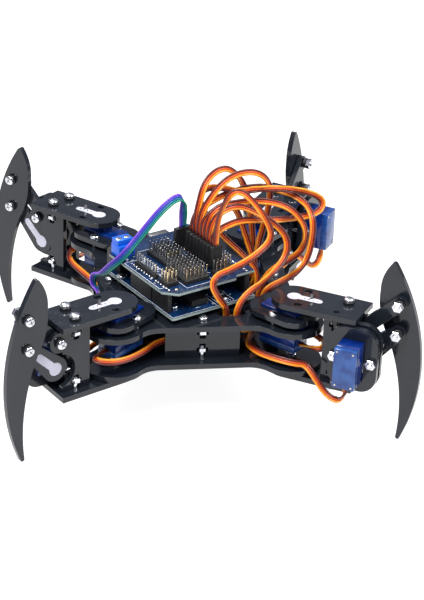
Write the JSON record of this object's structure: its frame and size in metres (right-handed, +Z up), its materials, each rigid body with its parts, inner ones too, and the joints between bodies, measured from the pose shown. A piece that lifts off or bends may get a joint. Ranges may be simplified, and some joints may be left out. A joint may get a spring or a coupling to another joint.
{
  "type": "walking robot kit",
  "caption": "Walking robot kit of black laser-cut sheet on crescent feet, with servo-driven hips and parallel-link legs under a stacked controller and shield.",
  "frame": {"origin": "centre of the overall box at floor level, without the free cables", "axes": "+Z up, front of the chassis towards -Y, +X to its right"},
  "size_m": [0.2182, 0.215, 0.1236],
  "materials": {
    "black_acrylic": "polished laser-cut sheet",
    "servo_case": "translucent moulded plastic",
    "horn_plastic": "moulded nylon",
    "screw_steel": "plated steel with black spacers",
    "circuit_board": "solder mask",
    "pin_metal": "gold-plated pins in black strips",
    "plug_plastic": "moulded housings",
    "servo_wire": "three-wire ribbon, brown, red and orange"
  },
  "bodies": {
    "chassis": {"chassis_cables": "servo_wire", "chassis_fasteners": "screw_steel", "chassis_walls": "black_acrylic", "controller_board": "circuit_board", "front_left_leg_cable": "servo_wire", "front_right_leg_cable": "servo_wire", "hip_servo_clamps": "black_acrylic", "hip_servos": "servo_case", "lower_chassis_plate": "black_acrylic", "pin_headers": "pin_metal", "radio_module": "circuit_board", "rear_left_leg_cable": "servo_wire", "rear_right_leg_cable": "servo_wire", "sensor_shield": "circuit_board", "servo_plugs": "plug_plastic", "upper_chassis_plate": "black_acrylic"},
    "front_left_hip": {"front_left_hip_top_plate": "black_acrylic", "front_left_hip_bottom_plate": "black_acrylic", "front_left_hip_side_plates": "black_acrylic", "front_left_leg_servo": "servo_case", "front_left_hip_horn": "horn_plastic", "front_left_hip_fasteners": "screw_steel"},
    "front_left_lower_arm_body": {"front_left_lower_arm": "black_acrylic", "front_left_leg_horn": "horn_plastic"},
    "front_left_upper_arm_body": {"front_left_upper_arm": "black_acrylic"},
    "front_left_foot_body": {"front_left_foot": "black_acrylic", "front_left_foot_fasteners": "screw_steel"},
    "front_right_hip": {"front_right_hip_top_plate": "black_acrylic", "front_right_hip_bottom_plate": "black_acrylic", "front_right_hip_side_plates": "black_acrylic", "front_right_leg_servo": "servo_case", "front_right_hip_horn": "horn_plastic", "front_right_hip_fasteners": "screw_steel"},
    "front_right_lower_arm_body": {"front_right_lower_arm": "black_acrylic", "front_right_leg_horn": "horn_plastic"},
    "front_right_upper_arm_body": {"front_right_upper_arm": "black_acrylic"},
    "front_right_foot_body": {"front_right_foot": "black_acrylic", "front_right_foot_fasteners": "screw_steel"},
    "rear_right_hip": {"rear_right_hip_top_plate": "black_acrylic", "rear_right_hip_bottom_plate": "black_acrylic", "rear_right_hip_side_plates": "black_acrylic", "rear_right_leg_servo": "servo_case", "rear_right_hip_horn": "horn_plastic", "rear_right_hip_fasteners": "screw_steel"},
    "rear_right_lower_arm_body": {"rear_right_lower_arm": "black_acrylic", "rear_right_leg_horn": "horn_plastic"},
    "rear_right_upper_arm_body": {"rear_right_upper_arm": "black_acrylic"},
    "rear_right_foot_body": {"rear_right_foot": "black_acrylic", "rear_right_foot_fasteners": "screw_steel"},
    "rear_left_hip": {"rear_left_hip_top_plate": "black_acrylic", "rear_left_hip_bottom_plate": "black_acrylic", "rear_left_hip_side_plates": "black_acrylic", "rear_left_leg_servo": "servo_case", "rear_left_hip_horn": "horn_plastic", "rear_left_hip_fasteners": "screw_steel"},
    "rear_left_lower_arm_body": {"rear_left_lower_arm": "black_acrylic", "rear_left_leg_horn": "horn_plastic"},
    "rear_left_upper_arm_body": {"rear_left_upper_arm": "black_acrylic"},
    "rear_left_foot_body": {"rear_left_foot": "black_acrylic", "rear_left_foot_fasteners": "screw_steel"}
  },
  "joints": [
    {"name": "front_left_hip_turn", "type": "hinge", "parent": "chassis", "child": "front_left_hip", "pos_m": [-0.04979, -0.06148, 0.0333], "axis": [0, 0, 1], "range_deg": [-30, 60], "deforming": ["front_left_leg_cable"]},
    {"name": "front_left_lift", "type": "hinge", "parent": "front_left_hip", "child": "front_left_lower_arm_body", "pos_m": [-0.08356, -0.08098, 0.046], "axis": [-0.5, 0.866, 0], "range_deg": [-75, 4]},
    {"name": "front_left_upper_link", "type": "hinge", "parent": "front_left_hip", "child": "front_left_upper_arm_body", "pos_m": [-0.08322, -0.08078, 0.0628], "axis": [-0.5, 0.866, 0], "range_deg": [-76, 5]},
    {"name": "front_left_foot_pivot", "type": "hinge", "parent": "front_left_lower_arm_body", "child": "front_left_foot_body", "pos_m": [-0.1, -0.09047, 0.06464], "axis": [-0.5, 0.866, 0], "range_deg": [-5, 76]},
    {"name": "front_right_hip_turn", "type": "hinge", "parent": "chassis", "child": "front_right_hip", "pos_m": [0.04481, -0.06148, 0.0333], "axis": [0, 0, 1], "range_deg": [-59, 31], "deforming": ["front_right_leg_cable"]},
    {"name": "front_right_lift", "type": "hinge", "parent": "front_right_hip", "child": "front_right_lower_arm_body", "pos_m": [0.07824, -0.08156, 0.046], "axis": [-0.515, -0.8572, 0], "range_deg": [-75, 4]},
    {"name": "front_right_upper_link", "type": "hinge", "parent": "front_right_hip", "child": "front_right_upper_arm_body", "pos_m": [0.0779, -0.08136, 0.0628], "axis": [-0.515, -0.8572, 0], "range_deg": [-76, 5]},
    {"name": "front_right_foot_pivot", "type": "hinge", "parent": "front_right_lower_arm_body", "child": "front_right_foot_body", "pos_m": [0.0945, -0.09134, 0.06464], "axis": [-0.515, -0.8572, 0], "range_deg": [-5, 76]},
    {"name": "rear_right_hip_turn", "type": "hinge", "parent": "chassis", "child": "rear_right_hip", "pos_m": [0.04481, 0.04432, 0.0333], "axis": [0, 0, 1], "range_deg": [-57, 33], "deforming": ["rear_right_leg_cable"]},
    {"name": "rear_right_lift", "type": "hinge", "parent": "rear_right_hip", "child": "rear_right_lower_arm_body", "pos_m": [0.06605, 0.07703, 0.046], "axis": [0.8387, -0.5446, 0], "range_deg": [-75, 4]},
    {"name": "rear_right_upper_link", "type": "hinge", "parent": "rear_right_hip", "child": "rear_right_upper_arm_body", "pos_m": [0.06583, 0.07669, 0.0628], "axis": [0.8387, -0.5446, 0], "range_deg": [-76, 5]},
    {"name": "rear_right_foot_pivot", "type": "hinge", "parent": "rear_right_lower_arm_body", "child": "rear_right_foot_body", "pos_m": [0.07638, 0.09294, 0.06464], "axis": [0.8387, -0.5446, 0], "range_deg": [-5, 76]},
    {"name": "rear_left_hip_turn", "type": "hinge", "parent": "chassis", "child": "rear_left_hip", "pos_m": [-0.04979, 0.04432, 0.0333], "axis": [0, 0, 1], "range_deg": [-49, 41], "deforming": ["rear_left_leg_cable"]},
    {"name": "rear_left_lift", "type": "hinge", "parent": "rear_left_hip", "child": "rear_left_lower_arm_body", "pos_m": [-0.07922, 0.06991, 0.046], "axis": [0.6561, 0.7547, 0], "range_deg": [-75, 4]},
    {"name": "rear_left_upper_link", "type": "hinge", "parent": "rear_left_hip", "child": "rear_left_upper_arm_body", "pos_m": [-0.07892, 0.06964, 0.0628], "axis": [0.6561, 0.7547, 0], "range_deg": [-76, 5]},
    {"name": "rear_left_foot_pivot", "type": "hinge", "parent": "rear_left_lower_arm_body", "child": "rear_left_foot_body", "pos_m": [-0.09354, 0.08235, 0.06464], "axis": [0.6561, 0.7547, 0], "range_deg": [-5, 76]}
  ],
  "couplings": [
    {"joint": "front_left_upper_link", "follows": "front_left_lift", "ratio": 1},
    {"joint": "front_left_foot_pivot", "follows": "front_left_lift", "ratio": -1},
    {"joint": "front_right_upper_link", "follows": "front_right_lift", "ratio": 1},
    {"joint": "front_right_foot_pivot", "follows": "front_right_lift", "ratio": -1},
    {"joint": "rear_right_upper_link", "follows": "rear_right_lift", "ratio": 1},
    {"joint": "rear_right_foot_pivot", "follows": "rear_right_lift", "ratio": -1},
    {"joint": "rear_left_upper_link", "follows": "rear_left_lift", "ratio": 1},
    {"joint": "rear_left_foot_pivot", "follows": "rear_left_lift", "ratio": -1}
  ]
}
